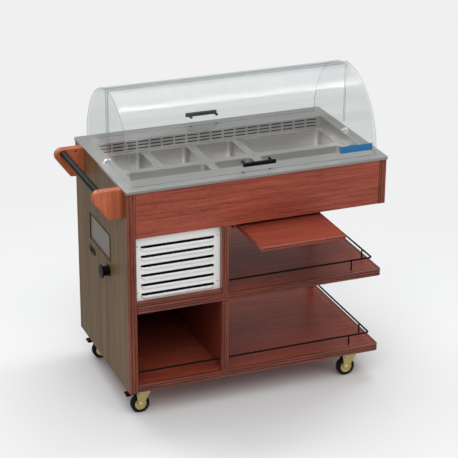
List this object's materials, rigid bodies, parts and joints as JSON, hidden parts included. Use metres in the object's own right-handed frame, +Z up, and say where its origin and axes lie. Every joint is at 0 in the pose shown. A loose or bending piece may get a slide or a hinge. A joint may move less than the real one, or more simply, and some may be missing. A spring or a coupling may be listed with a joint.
{
  "type": "refrigerated buffet trolley",
  "caption": "Wooden buffet trolley on casters with a cold well under a clear roll-back dome, open shelves with rails, a pull-out board and a louvred machine bay.",
  "frame": {"origin": "on the floor under the middle of the whole object's box, with the pull-out board out and the casters trailing left", "axes": "+X to the right along the trolley, away from its push handle; +Y to the back; +Z up"},
  "size_m": [0.988, 0.719, 1.049],
  "materials": {
    "mahogany": "satin",
    "light_wood": "satin",
    "laminate": "gloss",
    "stainless": "brushed",
    "foam": "matte",
    "copper": "satin",
    "clear_acrylic": "gloss",
    "black_plastic": "satin",
    "black_rubber": "matte",
    "black_paint": "satin",
    "grey_paint": "satin",
    "white_paint": "satin",
    "fin_aluminium": "satin",
    "white_plastic": "matte",
    "brass": "polished",
    "tyre": "matte"
  },
  "bodies": {
    "trolley": {"side_panel": "laminate", "front_left_post": "mahogany", "divider_posts": "mahogany", "divider_panels": "mahogany", "rear_panel": "mahogany", "rear_right_post": "mahogany", "base_board": "mahogany", "base_moulding": "mahogany", "mid_board": "mahogany", "mid_moulding": "mahogany", "apron_front": "mahogany", "apron_right": "mahogany", "apron_back": "mahogany", "apron_corner_posts": "mahogany", "rim_top": "stainless", "well_liner": "stainless", "vent_strip": "stainless", "insulation_tub": "foam", "evaporator_coil": "copper", "pan_frame": "stainless", "pans_third": "stainless", "pans_sixth": "stainless", "tray_runners": "mahogany", "dome_pivots": "stainless", "dome_buffers": "black_rubber", "handle_brackets": "light_wood", "push_bar": "black_paint", "control_plate": "grey_paint", "switch_bezel": "black_plastic", "cord_bobbin": "black_plastic", "louvre_grille": "white_paint", "grille_sill": "mahogany", "mid_rail": "black_paint", "base_rail": "black_paint", "unit_plate": "grey_paint", "compressor": "black_paint", "condenser": "fin_aluminium", "fan_motor": "black_paint", "caster_plates": "brass"},
    "dome_front": {"dome_front_shell": "clear_acrylic", "dome_handle_front": "black_plastic"},
    "dome_rear": {"dome_rear_shell": "clear_acrylic", "dome_handle_rear": "black_plastic"},
    "board": {"pull_out_tray": "mahogany"},
    "rocker": {"power_switch": "black_plastic"},
    "fan": {"fan_blade": "white_plastic"},
    "caster_fl": {"fork_fl": "brass"},
    "wheel_fl": {"tyre_fl": "tyre", "hub_fl": "brass"},
    "caster_fr": {"fork_fr": "brass"},
    "wheel_fr": {"tyre_fr": "tyre", "hub_fr": "brass"},
    "caster_rl": {"fork_rl": "brass"},
    "wheel_rl": {"tyre_rl": "tyre", "hub_rl": "brass"},
    "caster_rr": {"fork_rr": "brass"},
    "wheel_rr": {"tyre_rr": "tyre", "hub_rr": "brass"},
    "brake_fl": {"brake_pedal_fl": "black_plastic"},
    "brake_rl": {"brake_pedal_rl": "black_plastic"}
  },
  "joints": [
    {"name": "dome_front_hinge", "type": "hinge", "parent": "trolley", "child": "dome_front", "pos_m": [0.046, 0.0865, 0.809], "axis": [1, 0, 0], "range_deg": [-75, 0]},
    {"name": "dome_rear_hinge", "type": "hinge", "parent": "trolley", "child": "dome_rear", "pos_m": [0.046, 0.0865, 0.809], "axis": [1, 0, 0], "range_deg": [0, 75]},
    {"name": "board_slide", "type": "slide", "parent": "trolley", "child": "board", "axis": [0, 1, 0], "range_m": [0, 0.176]},
    {"name": "switch_rocker", "type": "hinge", "parent": "trolley", "child": "rocker", "pos_m": [-0.395, 0.1819, 0.458], "axis": [0, 0, 1], "range_deg": [-12, 0]},
    {"name": "fan_spin", "type": "hinge", "parent": "trolley", "child": "fan", "pos_m": [-0.228, -0.0735, 0.502], "axis": [0, 1, 0], "continuous": true},
    {"name": "swivel_fl", "type": "hinge", "parent": "trolley", "child": "caster_fl", "pos_m": [-0.325, -0.1235, 0.09], "axis": [0, 0, 1], "continuous": true},
    {"name": "roll_fl", "type": "hinge", "parent": "caster_fl", "child": "wheel_fl", "pos_m": [-0.347, -0.1235, 0.0315], "axis": [0, 1, 0], "continuous": true},
    {"name": "swivel_fr", "type": "hinge", "parent": "trolley", "child": "caster_fr", "pos_m": [0.417, -0.1235, 0.09], "axis": [0, 0, 1], "continuous": true},
    {"name": "roll_fr", "type": "hinge", "parent": "caster_fr", "child": "wheel_fr", "pos_m": [0.395, -0.1235, 0.0315], "axis": [0, 1, 0], "continuous": true},
    {"name": "swivel_rl", "type": "hinge", "parent": "trolley", "child": "caster_rl", "pos_m": [-0.325, 0.2965, 0.09], "axis": [0, 0, 1], "continuous": true},
    {"name": "roll_rl", "type": "hinge", "parent": "caster_rl", "child": "wheel_rl", "pos_m": [-0.347, 0.2965, 0.0315], "axis": [0, 1, 0], "continuous": true},
    {"name": "swivel_rr", "type": "hinge", "parent": "trolley", "child": "caster_rr", "pos_m": [0.417, 0.2965, 0.09], "axis": [0, 0, 1], "continuous": true},
    {"name": "roll_rr", "type": "hinge", "parent": "caster_rr", "child": "wheel_rr", "pos_m": [0.395, 0.2965, 0.0315], "axis": [0, 1, 0], "continuous": true},
    {"name": "brake_press_fl", "type": "hinge", "parent": "caster_fl", "child": "brake_fl", "pos_m": [-0.355, -0.1235, 0.072], "axis": [0, 1, 0], "range_deg": [-10, 0]},
    {"name": "brake_press_rl", "type": "hinge", "parent": "caster_rl", "child": "brake_rl", "pos_m": [-0.355, 0.2965, 0.072], "axis": [0, 1, 0], "range_deg": [-10, 0]}
  ]
}
